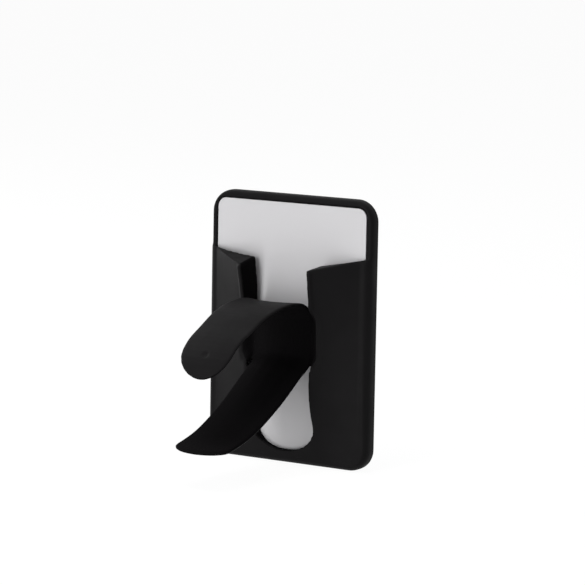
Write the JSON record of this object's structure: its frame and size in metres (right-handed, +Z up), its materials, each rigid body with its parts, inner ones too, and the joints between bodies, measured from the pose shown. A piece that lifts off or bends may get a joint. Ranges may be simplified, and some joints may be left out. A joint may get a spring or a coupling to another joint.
{
  "type": "phone card holder with snap strap",
  "caption": "Soft silicone card pocket for the back of a phone, with a thumb notch, a lower hole and a sprung strap bent out into a grip and stand.",
  "frame": {"origin": "centre of the adhesive face that sticks to the phone", "axes": "+Y into the phone, so the front faces -Y; +Z up along the holder toward the pocket's mouth; +X to the right seen from the front"},
  "size_m": [0.0628, 0.0627, 0.091],
  "materials": {
    "silicone": "matte moulded silicone",
    "spring_steel": "rolled spring steel",
    "adhesive": "foam tape",
    "card": "satin PVC"
  },
  "bodies": {
    "root": {"silicone_body": "silicone", "spring_strip": "spring_steel", "adhesive_pad": "adhesive", "card": "card"}
  },
  "joints": []
}
